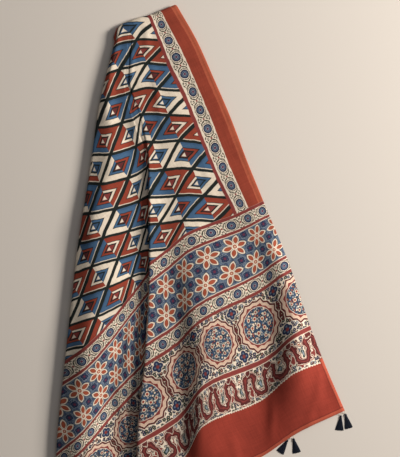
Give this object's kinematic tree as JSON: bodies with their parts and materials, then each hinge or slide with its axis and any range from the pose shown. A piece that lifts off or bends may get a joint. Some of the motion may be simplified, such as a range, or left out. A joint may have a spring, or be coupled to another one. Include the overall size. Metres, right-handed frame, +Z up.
{
  "type": "block printed ajrakh cloth with tassels",
  "caption": "Rectangular block printed cotton dupatta, laid flat in the folds of its drape, with thread tassels in pairs along its end hem.",
  "frame": {"origin": "middle of the box around the laid cloth, on the surface that it lies on", "axes": "+Z up from the surface; +Y towards the shoulder line, along the length of the laid cloth; +X towards the long edge that shows"},
  "size_m": [0.6364, 1.2796, 0.0366],
  "materials": {
    "printed_cotton": "matt woven cotton with a madder, indigo, black and cream block print",
    "navy_thread": "matt twisted cotton thread"
  },
  "bodies": {
    "root": {"cloth": "printed_cotton", "tassel_1a": "navy_thread", "tassel_1b": "navy_thread", "tassel_2a": "navy_thread", "tassel_2b": "navy_thread", "tassel_3a": "navy_thread", "tassel_3b": "navy_thread", "tassel_4a": "navy_thread", "tassel_4b": "navy_thread", "tassel_5a": "navy_thread", "tassel_5b": "navy_thread", "tassel_8a": "navy_thread", "tassel_8b": "navy_thread"}
  },
  "joints": []
}
